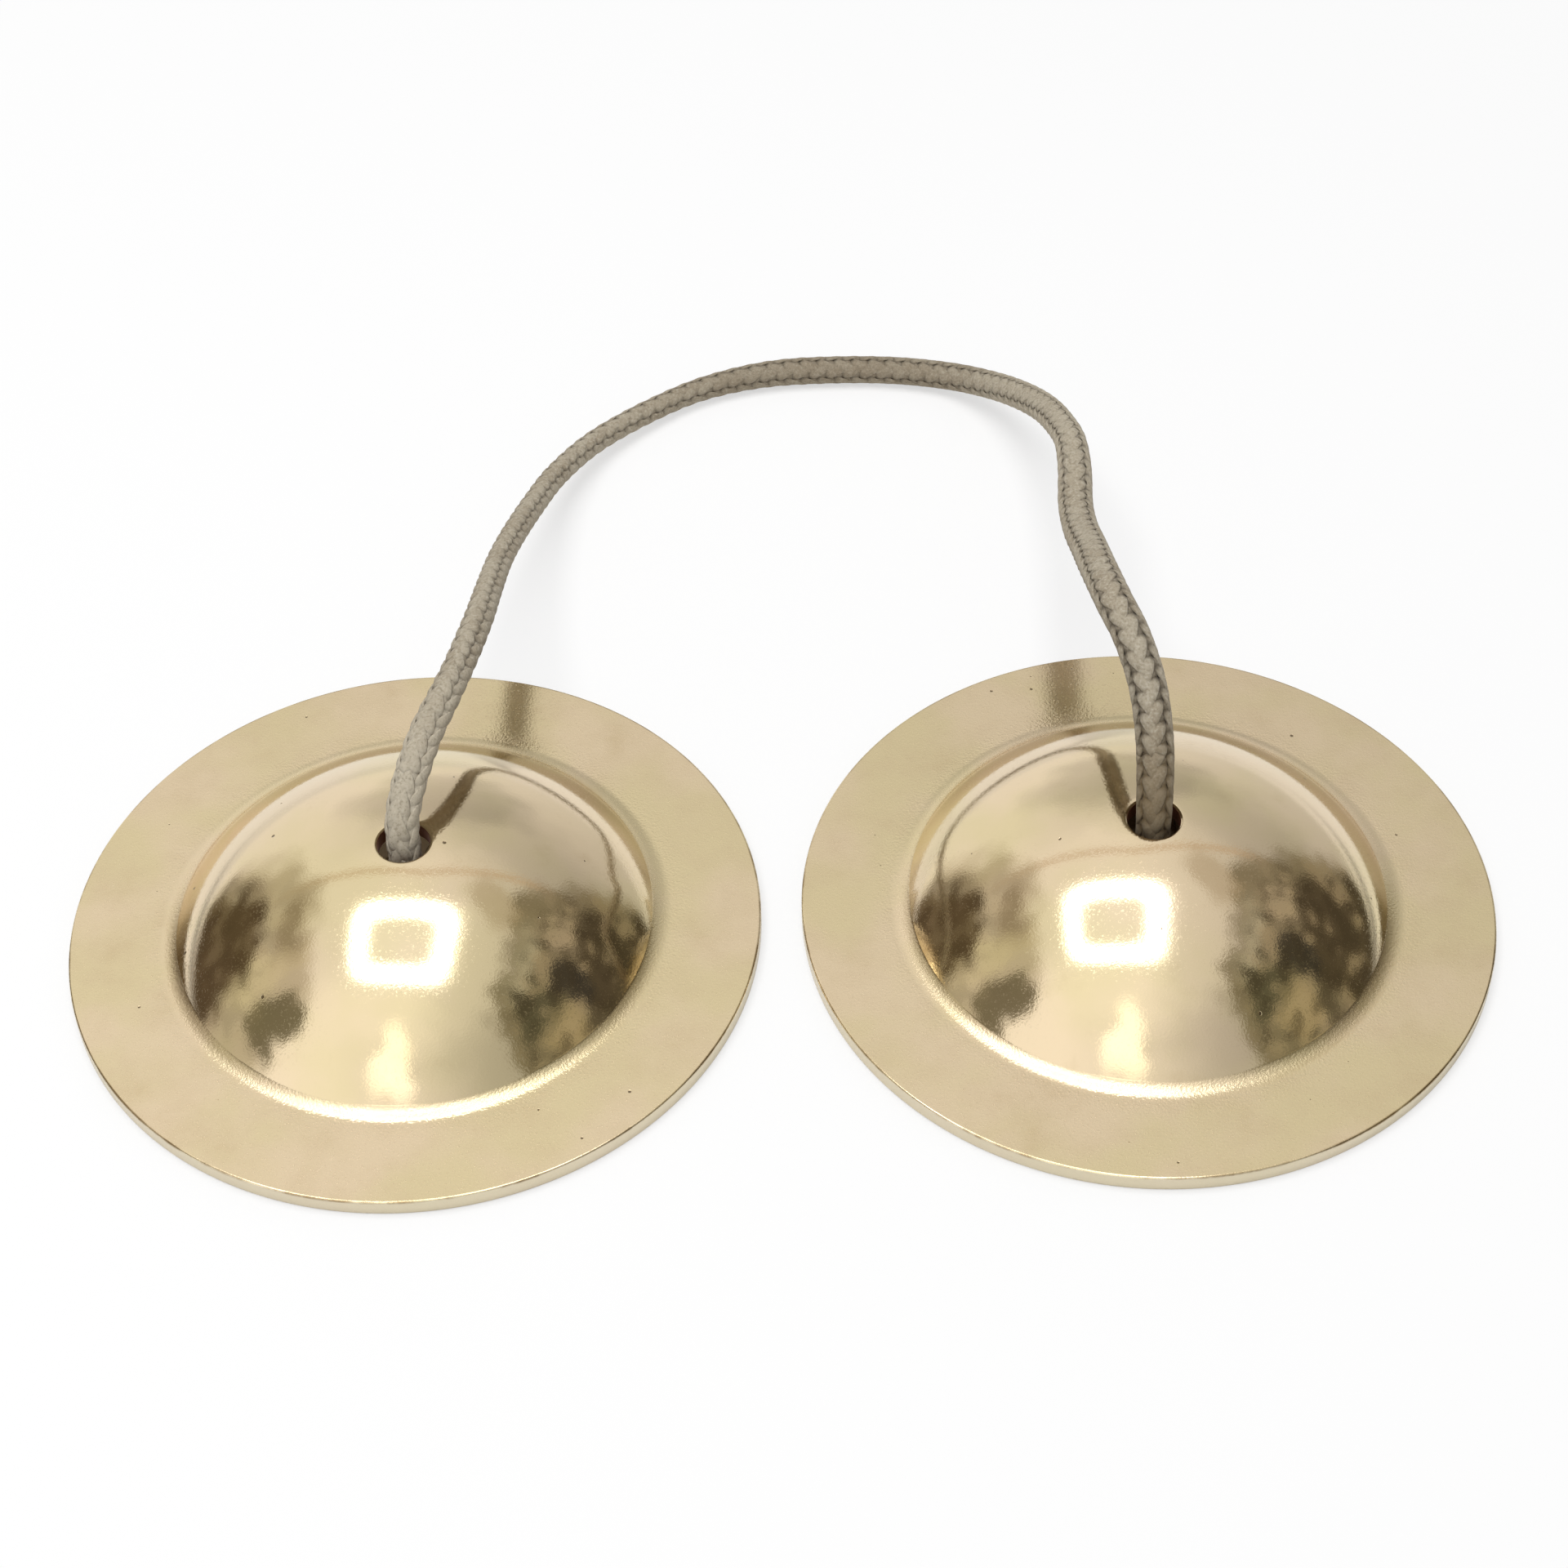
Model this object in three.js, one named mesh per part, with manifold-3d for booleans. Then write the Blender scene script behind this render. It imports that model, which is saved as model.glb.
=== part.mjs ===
// A pair of manjira: two small brass cymbals on one braided cord.
// Each cymbal is a turned disc with a flat flange, a domed crown and a hole in
// the crown. The cord runs from crown to crown, and an overhand knot under each
// crown keeps the cymbal on it.
// Millimetres. The cymbals lie on z = 0, +X runs along the line of their
// centres, and the cord lies behind them, towards +Y.
import * as THREE from "three";
import { mergeVertices } from "three/addons/utils/BufferGeometryUtils.js";
import Module from "manifold-3d";

// Cymbals
const discDiameter = 75;
const discSpacing = 79.4; // centre to centre, as they lie
const flangeThickness = 2;
const crownHeight = 14.8; // from the resting face to the top of the dome
const crownWall = 2;
const footDiameter = 55.6; // where the dome's foot runs out into the flange
const footFillet = 3;
const rimRound = 0.35; // lower edge of the rim
const rimBreak = 0.15; // upper edge of the rim
const mouthRound = 0.8; // inner lower edge of the hollow
const cordHole = 5.6; // diameter
const holeRound = 0.45; // both edges of the cord hole

// Cord
const cordDiameter = 3.7;
const cordSides = 8;
const cordSteps = 56;
const endGap = 0.3; // between the cord and a knot's stem, at the bend in the hole
const leftLean = 38; // degrees that the cord leans back where it leaves the hole
const rightLean = 20;

// Overhand knots: lengths in cord diameters
const wrapRadius = 1.27; // of the ring that the wraps follow
const wrapDepth = 0.6; // across the ring's section
const wrapRise = 0.66; // along the stem
const wrapTwist = -0.3; // turns the strands upright in the middle of the knot
const tailLength = 1.3;
const knotSteps = 80;
const seatGap = 0.3; // knot to the underside of the crown
const leftKnotTurn = 200; // degrees about the hole
const rightKnotTurn = -35;

const lathePoints = 60;

const brass = new THREE.MeshStandardMaterial({ color: 0xd8c08c, roughness: 0.28, metalness: 1 });
const braid = new THREE.MeshStandardMaterial({ color: 0xa59b8c, roughness: 0.9, metalness: 0 });

const wasm = await Module();
wasm.setup();

function solid(geometry) {
  const bare = geometry.clone();
  bare.deleteAttribute("normal");
  bare.deleteAttribute("uv");
  const merged = mergeVertices(bare, 1e-4);
  return new wasm.Manifold(
    new wasm.Mesh({
      numProp: 3,
      vertProperties: merged.attributes.position.array,
      triVerts: new Uint32Array(merged.index.array),
    }),
  );
}

function geometryOf(body) {
  const mesh = body.getMesh();
  const geometry = new THREE.BufferGeometry();
  geometry.setAttribute("position", new THREE.BufferAttribute(mesh.vertProperties, 3));
  geometry.setIndex(new THREE.BufferAttribute(mesh.triVerts, 1));
  return geometry;
}

// Points of an arc in the profile plane, from one angle to another, in degrees.
function arc(x, y, radius, from, to, pieces) {
  return Array.from({ length: pieces + 1 }, (_, i) => {
    const angle = THREE.MathUtils.degToRad(from + ((to - from) * i) / pieces);
    return new THREE.Vector2(x + radius * Math.cos(angle), y + radius * Math.sin(angle));
  });
}

// The angle of the line from the dome's centre to a point of the profile plane.
const angleFrom = (y0, x, y) => THREE.MathUtils.radToDeg(Math.atan2(y - y0, x));

// The dome is a sphere that the foot fillet and the crown height fix.
const filletHeight = crownHeight - flangeThickness - footFillet;
const domeRadius =
  (filletHeight ** 2 + (footDiameter / 2) ** 2 - footFillet ** 2) /
  (2 * (crownHeight - flangeThickness));
const domeCentre = crownHeight - domeRadius;
const hollowRadius = domeRadius - crownWall;

function cymbal(name) {
  const rim = discDiameter / 2;
  const foot = footDiameter / 2;
  const hole = cordHole / 2;
  const footAngle = angleFrom(domeCentre, foot, flangeThickness + footFillet);
  const edge = hole + holeRound;
  const outerEdge = domeCentre + Math.sqrt((domeRadius - holeRound) ** 2 - edge ** 2);
  const innerEdge = domeCentre + Math.sqrt((hollowRadius + holeRound) ** 2 - edge ** 2);
  const mouth = Math.sqrt((hollowRadius + mouthRound) ** 2 - (mouthRound - domeCentre) ** 2);
  const mouthAngle = angleFrom(domeCentre, mouth, mouthRound);
  const outerAngle = angleFrom(domeCentre, edge, outerEdge);
  const innerAngle = angleFrom(domeCentre, edge, innerEdge);
  const profile = [
    ...arc(rim - rimRound, rimRound, rimRound, -90, 0, 2),
    new THREE.Vector2(rim, flangeThickness - rimBreak),
    new THREE.Vector2(rim - rimBreak, flangeThickness),
    ...arc(foot, flangeThickness + footFillet, footFillet, -90, footAngle - 180, 3),
    ...arc(0, domeCentre, domeRadius, footAngle, outerAngle, 10).slice(1, -1),
    ...arc(edge, outerEdge, holeRound, outerAngle, 180, 2),
    ...arc(edge, innerEdge, holeRound, 180, innerAngle + 180, 2),
    ...arc(0, domeCentre, hollowRadius, innerAngle, mouthAngle, 8).slice(1, -1),
    ...arc(mouth, mouthRound, mouthRound, mouthAngle - 180, -90, 2),
  ];
  profile.push(profile[0].clone());
  const geometry = new THREE.LatheGeometry(profile, lathePoints).rotateX(Math.PI / 2);
  const mesh = new THREE.Mesh(geometry, brass);
  mesh.name = name;
  return mesh;
}

function tube(points, steps) {
  const section = new THREE.Shape(
    Array.from({ length: cordSides }, (_, i) => {
      const angle = ((i + 0.5) * 2 * Math.PI) / cordSides;
      return new THREE.Vector2(Math.cos(angle), Math.sin(angle)).multiplyScalar(cordDiameter / 2);
    }),
  );
  const path = new THREE.CatmullRomCurve3(points, false, "centripetal");
  path.arcLengthDivisions = 2000;
  return solid(new THREE.ExtrudeGeometry(section, { extrudePath: path, steps, bevelEnabled: false }));
}

// The rounded end that turns against its neighbour where the cord bends in the hole.
function roundEnd(at) {
  const ball = new THREE.SphereGeometry(cordDiameter / 2, 12, 8);
  return solid(ball.translate(at.x, at.y, at.z));
}

// How far the centre of a rounded end lies from the bend, so that both keep endGap at rest.
const endReach = (lean) =>
  (cordDiameter + endGap) / 2 / Math.cos(THREE.MathUtils.degToRad(lean / 2));

// The middle height of a knot whose upper wrap is seated under the crown.
const knotReach = (2 * wrapRadius - wrapDepth) * cordDiameter;
const knotMiddle =
  domeCentre +
  Math.sqrt((hollowRadius - seatGap - cordDiameter / 2) ** 2 - knotReach ** 2) -
  wrapRise * cordDiameter;

// An overhand knot: the stem comes down through the hole, two wraps go round it
// and the tail leaves below.
function knotPath(lean) {
  const top = crownHeight - endReach(lean);
  const stem = [0, 0.4, 0.75].map(
    (share) => new THREE.Vector3(0, 0, top + (knotMiddle + 0.35 * cordDiameter - top) * share),
  );
  const last = 1.5 * Math.PI;
  const count = 40;
  const wraps = Array.from({ length: count }, (_, i) => {
    const t = 0.1 + ((last - 0.1) * i) / (count - 1);
    const out = wrapRadius - wrapDepth * Math.cos(3 * t);
    const turn = 2 * t + wrapTwist * Math.sin(3 * t);
    return new THREE.Vector3(
      out * Math.cos(turn) - (wrapRadius - wrapDepth),
      out * Math.sin(turn),
      -wrapRise * Math.sin(3 * t),
    )
      .multiplyScalar(cordDiameter)
      .add(new THREE.Vector3(0, 0, knotMiddle));
  });
  const end = wraps[count - 1];
  const away = end.clone().sub(wraps[count - 2]).normalize();
  const tail = [0.5, 1].map((share) =>
    end.clone().addScaledVector(away, tailLength * cordDiameter * share),
  );
  return [...stem, ...wraps, ...tail];
}

// The least gap between two stretches of a tube that are not neighbours along it.
function leastSelfGap(points) {
  const path = new THREE.CatmullRomCurve3(points, false, "centripetal");
  path.arcLengthDivisions = 2000;
  const spots = path.getSpacedPoints(400);
  const step = path.getLength() / 400;
  const apart = Math.ceil((1.9 * cordDiameter) / step);
  let least = Infinity;
  for (let i = 0; i < spots.length; i += 1) {
    for (let j = i + apart; j < spots.length; j += 1) {
      least = Math.min(least, spots[i].distanceTo(spots[j]));
    }
  }
  return least - cordDiameter;
}

function stopperKnot(name, lean, turn) {
  const path = knotPath(lean);
  console.log(`${name}: least gap to itself ${leastSelfGap(path).toFixed(2)} mm`);
  const body = tube(path, knotSteps).add(roundEnd(path[0]));
  const mesh = new THREE.Mesh(geometryOf(body), braid);
  mesh.name = name;
  mesh.rotation.z = THREE.MathUtils.degToRad(turn);
  return mesh;
}

// Where the cord bends at a hole, and the middle of its rounded end there.
function cordEnd(side, lean) {
  const angle = THREE.MathUtils.degToRad(lean);
  return new THREE.Vector3((side * discSpacing) / 2, 0, crownHeight).addScaledVector(
    new THREE.Vector3(0, Math.sin(angle), Math.cos(angle)),
    endReach(lean),
  );
}

// The route of the free cord, from the left hole to the right one. It rises from
// the hole, comes down behind the cymbals, and its arch lies on the table.
function connectingCord() {
  const route = [
    [-38.9, 4.4, 18.9],
    [-37.2, 9.2, 21.3],
    [-35.4, 14, 22.1],
    [-34.1, 19.2, 21.6],
    [-32.6, 28, 19.9],
    [-32, 36, 17.1],
    [-31.4, 44, 14],
    [-30.5, 50.4, 11.6],
    [-28.6, 59.7, 8.3],
    [-26, 69, 5.3],
    [-21.5, 77.6, 3.1],
    [-14.4, 84.6, 2.1],
    [-8, 88.6, 1.9],
    [0, 91, 1.9],
    [8.5, 91.5, 1.9],
    [17, 90.8, 2],
    [23.7, 88.6, 2.6],
    [28.4, 84, 4.8],
    [31.6, 77.6, 8.3],
    [33.8, 70.6, 12],
    [35, 63.2, 15.6],
    [35.6, 57.2, 17.9],
    [35.6, 51.8, 18.4],
    [35.3, 46.8, 17.6],
    [35.3, 41.5, 18.8],
    [35.5, 34, 22.4],
    [35.6, 25.5, 26.9],
    [36.4, 17.3, 29.7],
    [37.8, 13, 28.9],
    [39.2, 8.8, 25.8],
    [39.8, 4.6, 21.6],
  ].map(([x, y, z]) => new THREE.Vector3(x, y, z));
  const points = [cordEnd(-1, leftLean), ...route, cordEnd(1, rightLean)];
  const body = tube(points, cordSteps).add(roundEnd(points[0])).add(roundEnd(points.at(-1)));
  const mesh = new THREE.Mesh(geometryOf(body), braid);
  mesh.name = "connecting_cord";
  const path = new THREE.CatmullRomCurve3(points, false, "centripetal");
  console.log(`connecting_cord: free length ${path.getLength().toFixed(0)} mm`);
  return mesh;
}

function side(sign, prefix, lean, turn) {
  const group = new THREE.Group();
  group.position.x = (sign * discSpacing) / 2;
  group.add(cymbal(`${prefix}_cymbal`), stopperKnot(`${prefix}_stopper_knot`, lean, turn));
  return group;
}

const manjira = new THREE.Group();
manjira.add(
  side(-1, "left", leftLean, leftKnotTurn),
  side(1, "right", rightLean, rightKnotTurn),
  connectingCord(),
);

export default manjira;
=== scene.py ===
import math

import bpy
from mathutils import Matrix, Quaternion, Vector


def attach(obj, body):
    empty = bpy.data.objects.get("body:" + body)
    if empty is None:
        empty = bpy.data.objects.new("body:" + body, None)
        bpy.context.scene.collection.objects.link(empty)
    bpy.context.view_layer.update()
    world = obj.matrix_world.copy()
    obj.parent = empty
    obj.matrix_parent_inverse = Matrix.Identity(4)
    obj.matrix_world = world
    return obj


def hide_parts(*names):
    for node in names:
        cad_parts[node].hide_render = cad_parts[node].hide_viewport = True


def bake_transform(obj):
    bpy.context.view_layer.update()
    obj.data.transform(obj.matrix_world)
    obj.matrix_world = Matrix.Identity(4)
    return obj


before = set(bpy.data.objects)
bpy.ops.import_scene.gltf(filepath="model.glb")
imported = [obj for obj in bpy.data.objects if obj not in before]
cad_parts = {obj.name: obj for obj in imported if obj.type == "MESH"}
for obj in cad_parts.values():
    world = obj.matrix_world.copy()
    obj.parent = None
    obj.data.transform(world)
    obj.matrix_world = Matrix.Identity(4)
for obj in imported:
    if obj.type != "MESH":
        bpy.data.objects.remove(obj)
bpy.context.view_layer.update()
mm = 0.001

# Camera: it stands in front of the pair and looks down on it from about hand height,
# through a short telephoto lens and with a slight roll, as the photograph was taken.
sensor_width = 36.0
focal_length = 71.17
camera_distance = 352.3 * mm
camera_elevation = math.radians(46.83)
camera_azimuth = math.radians(0.07)
camera_roll = math.radians(-1.82)
looked_at = Vector((0.7, 20.4, 0)) * mm

camera_back = Vector((
    math.sin(camera_azimuth) * math.cos(camera_elevation),
    -math.cos(camera_azimuth) * math.cos(camera_elevation),
    math.sin(camera_elevation),
))
camera_data = bpy.data.cameras.new("camera")
camera_data.lens = focal_length
camera_data.sensor_width = sensor_width
camera = bpy.data.objects.new("camera", camera_data)
camera.rotation_mode = "QUATERNION"
camera.location = looked_at + camera_back * camera_distance
camera.rotation_quaternion = (
    camera_back.to_track_quat("Z", "Y") @ Quaternion((0, 0, 1), camera_roll)
)
bpy.context.scene.collection.objects.link(camera)
bpy.context.scene.camera = camera

# Cord: one round cord of cotton yarn, plaited from sixteen strands over a soft core.
# It is threaded through both crowns, bends in the mouth of each hole, rises over the
# far side of the cymbals and lies on the table in a loose arch behind them.
cord_diameter = 3.7 * mm
disc_spacing = 79.4 * mm
crown_height = 14.8 * mm
end_gap = 0.3 * mm
left_lean = math.radians(38)
right_lean = math.radians(20)
line_steps = 24
cord_route = [
    (-38.9, 4.4, 18.9), (-37.2, 9.2, 21.3), (-35.4, 14, 22.1), (-34.1, 19.2, 21.6),
    (-32.6, 28, 19.9), (-32, 36, 17.1), (-31.4, 44, 14), (-30.5, 50.4, 11.6),
    (-28.6, 59.7, 8.3), (-26, 69, 5.3), (-21.5, 77.6, 3.1), (-14.4, 84.6, 2.1),
    (-8, 88.6, 1.9), (0, 91, 1.9), (8.5, 91.5, 1.9), (17, 90.8, 2),
    (23.7, 88.6, 2.6), (28.4, 84, 4.8), (31.6, 77.6, 8.3), (33.8, 70.6, 12),
    (35, 63.2, 15.6), (35.6, 57.2, 17.9), (35.6, 51.8, 18.4), (35.3, 46.8, 17.6),
    (35.3, 41.5, 18.8), (35.5, 34, 22.4), (35.6, 25.5, 26.9), (36.4, 17.3, 29.7),
    (37.8, 13, 28.9), (39.2, 8.8, 25.8), (39.8, 4.6, 21.6),
]

# The knots are plain overhand knots, sized in cord diameters and seated under the crown.
wrap_radius = 1.27
wrap_depth = 0.6
wrap_rise = 0.66
wrap_twist = -0.3
wrap_start = 0.1
wrap_end = 1.5 * math.pi
wrap_points = 40
stem_foot = 0.35
stem_shares = (0, 0.4, 0.75)
tail_length = 1.3
tail_shares = (0.5, 1)
seat_gap = 0.3 * mm
left_knot_turn = math.radians(200)
right_knot_turn = math.radians(-35)

# The dome is a sphere that its foot fillet and the crown height fix.
flange_thickness = 2 * mm
crown_wall = 2 * mm
foot_radius = 27.8 * mm
foot_fillet = 3 * mm
fillet_height = crown_height - flange_thickness - foot_fillet
dome_radius = (fillet_height**2 + foot_radius**2 - foot_fillet**2) / (
    2 * (crown_height - flange_thickness)
)
dome_centre = crown_height - dome_radius
hollow_radius = dome_radius - crown_wall


def end_reach(lean):
    """From the bend in the hole to where the cord runs straight again."""
    return (cord_diameter + end_gap) / 2 / math.cos(lean / 2)


def knot_line(side, lean, turn):
    """The knotted end of the cord, from its tail up through the hole."""
    reach = (2 * wrap_radius - wrap_depth) * cord_diameter
    seat = hollow_radius - seat_gap - cord_diameter / 2
    middle = dome_centre + math.sqrt(seat**2 - reach**2) - wrap_rise * cord_diameter
    top = crown_height - end_reach(lean)
    low = middle + stem_foot * cord_diameter
    stem = [Vector((0, 0, top + (low - top) * share)) for share in stem_shares]
    wraps = []
    for i in range(wrap_points):
        t = wrap_start + (wrap_end - wrap_start) * i / (wrap_points - 1)
        out = wrap_radius - wrap_depth * math.cos(3 * t)
        turned = 2 * t + wrap_twist * math.sin(3 * t)
        point = Vector((
            out * math.cos(turned) - (wrap_radius - wrap_depth),
            out * math.sin(turned),
            -wrap_rise * math.sin(3 * t),
        ))
        wraps.append(point * cord_diameter + Vector((0, 0, middle)))
    away = (wraps[-1] - wraps[-2]).normalized() * tail_length * cord_diameter
    tail = [wraps[-1] + away * share for share in tail_shares]
    place = Matrix.Translation((side * disc_spacing / 2, 0, 0)) @ Matrix.Rotation(turn, 4, "Z")
    return [place @ point for point in reversed([*stem, *wraps, *tail])]


def bend_at(side):
    """The middle of a hole's mouth, where the cord bends."""
    return Vector((side * disc_spacing / 2, 0, crown_height))


def leg_start(side, lean):
    """Where the free cord leaves the bend in the hole, leaning back by lean."""
    return bend_at(side) + Vector((0, math.sin(lean), math.cos(lean))) * end_reach(lean)


def smooth_line(points):
    """Many points on one smooth curve through the given ones (centripetal Catmull-Rom)."""
    framed = [points[0] * 2 - points[1], *points, points[-1] * 2 - points[-2]]
    line = []
    for four in zip(framed, framed[1:], framed[2:], framed[3:]):
        at = [0.0]
        for a, b in zip(four, four[1:]):
            at.append(at[-1] + math.sqrt((b - a).length))
        for step in range(line_steps):
            t = at[1] + (at[2] - at[1]) * step / line_steps
            first = [
                four[i].lerp(four[i + 1], (t - at[i]) / (at[i + 1] - at[i])) for i in range(3)
            ]
            second = [
                first[i].lerp(first[i + 1], (t - at[i]) / (at[i + 2] - at[i])) for i in range(2)
            ]
            line.append(second[0].lerp(second[1], (t - at[1]) / (at[2] - at[1])))
    return [*line, points[-1]]


left_end = knot_line(-1, left_lean, left_knot_turn)
right_end = knot_line(1, right_lean, right_knot_turn)[::-1]
leg_points = [Vector(point) * mm for point in cord_route]
whole_line = smooth_line([
    *left_end, leg_start(-1, left_lean), *leg_points, leg_start(1, right_lean), *right_end
])
along = [0.0]
for a, b in zip(whole_line, whole_line[1:]):
    along.append(along[-1] + (b - a).length)
cord_length = along[-1]


def nearest_along(place):
    """How far along the cord the point of it that lies nearest to a place is."""
    return min(zip(along, whole_line), key=lambda pair: (pair[1] - place).length)[0]


left_bend = nearest_along(bend_at(-1))
right_bend = nearest_along(bend_at(1))


def between(stops, at):
    """The value at a distance from the left hole, eased between stops of (mm, value)."""
    at = at / mm
    for (start, low), (end, high) in zip(stops, stops[1:]):
        if at <= end:
            share = max(0.0, (at - start) / (end - start))
            return low + (high - low) * share * share * (3 - 2 * share)
    return stops[-1][1]


# How full the soft cord is, as a share of its diameter, and how far the middle of one of
# its four faces is turned away from the front, in degrees. The tails taper at their tips.
girth_stops = [
    (-8, 1), (8, 1.03), (24, 0.94), (54, 0.83), (98, 0.8), (118, 0.96), (168, 1), (184, 1.12),
    (232, 1.12), (248, 1),
]
turn_stops = [(-5, -15), (70, -15), (150, 9), (240, 9)]
tail_taper = 0.8 * mm
tail_girth = 0.86


def direction_at(i):
    """Which way the cord runs at a point of its line."""
    return (whole_line[min(i + 1, len(whole_line) - 1)] - whole_line[max(i - 1, 0)]).normalized()


def square_to(vector, direction):
    """A unit vector square to a direction, as near as can be to the given one."""
    return (vector - direction * vector.dot(direction)).normalized()


free_points = [i for i, at in enumerate(along) if left_bend <= at <= right_bend]
facing = {i: square_to(camera_back, direction_at(i)) for i in free_points}
for i in range(free_points[0] - 1, -1, -1):
    facing[i] = square_to(facing[i + 1], direction_at(i))
for i in range(free_points[-1] + 1, len(whole_line)):
    facing[i] = square_to(facing[i - 1], direction_at(i))

# The line of the cord tells the plaiting, at each point, where its front face looks, by the
# direction of an arrow, and how full it is, by the arrow's length.
line_mesh = bpy.data.meshes.new("cord_line")
line_mesh.from_pydata(whole_line, [(i, i + 1) for i in range(len(whole_line) - 1)], [])
lay = line_mesh.attributes.new("lay", "FLOAT_VECTOR", "POINT")
for i, distance in enumerate(along):
    to_tail = min(distance, cord_length - distance, tail_taper) / tail_taper
    girth = between(girth_stops, distance - left_bend) * (tail_girth + (1 - tail_girth) * to_tail)
    turn = Quaternion(direction_at(i), math.radians(between(turn_stops, distance - left_bend)))
    lay.data[i].vector = turn @ facing[i] * girth
cord_line = bpy.data.objects.new("cord_line", line_mesh)
bpy.context.scene.collection.objects.link(cord_line)


def node(tree, kind, inputs=(), **settings):
    """Adds a node to a tree. Inputs are given by name or number, as a value or a socket."""
    made = tree.nodes.new(kind)
    for key, value in settings.items():
        setattr(made, key, value)
    for key, value in dict(inputs).items():
        value = value.socket if isinstance(value, Field) else value
        if isinstance(value, bpy.types.NodeSocket):
            tree.links.new(value, made.inputs[key])
        else:
            made.inputs[key].default_value = value
    return made


class Field:
    """A number in a node tree that can be written in a formula."""

    def __init__(self, tree, socket):
        self.tree, self.socket = tree, socket

    def math(self, operation, *others):
        inputs = dict(enumerate((self, *others)))
        made = node(self.tree, "ShaderNodeMath", inputs, operation=operation)
        return Field(self.tree, made.outputs[0])

    def __add__(self, other):
        return self.math("ADD", other)

    def __sub__(self, other):
        return self.math("SUBTRACT", other)

    def __mul__(self, other):
        return self.math("MULTIPLY", other)

    def __truediv__(self, other):
        return self.math("DIVIDE", other)

    __radd__, __rmul__ = __add__, __mul__

    def __rsub__(self, other):
        return self * -1 + other

    def __rtruediv__(self, other):
        return self.math("POWER", -1) * other


def group_of(name, kind, inputs, outputs):
    """A node tree with named sockets, and its input and output nodes."""
    tree = bpy.data.node_groups.new(name, kind)
    for way, rows in (("INPUT", inputs), ("OUTPUT", outputs)):
        for label, socket in rows:
            tree.interface.new_socket(label, in_out=way, socket_type=socket)
    return tree, tree.nodes.new("NodeGroupInput"), tree.nodes.new("NodeGroupOutput")


weld_distance = 1e-6


def put_out(tree, geometry, given, result):
    """Ends a tree: closes the seams of its mesh, shades it smooth and gives it its material."""
    for kind, inputs in (
        ("GeometryNodeMergeByDistance", {"Distance": weld_distance}),
        ("GeometryNodeSetShadeSmooth", {}),
        ("GeometryNodeRealizeInstances", {}),
        ("GeometryNodeSetMaterial", {"Material": given.outputs["Material"]}),
    ):
        geometry = node(tree, kind, {"Geometry": geometry, **inputs}).outputs[0]
    tree.links.new(geometry, result.inputs[0])


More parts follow.
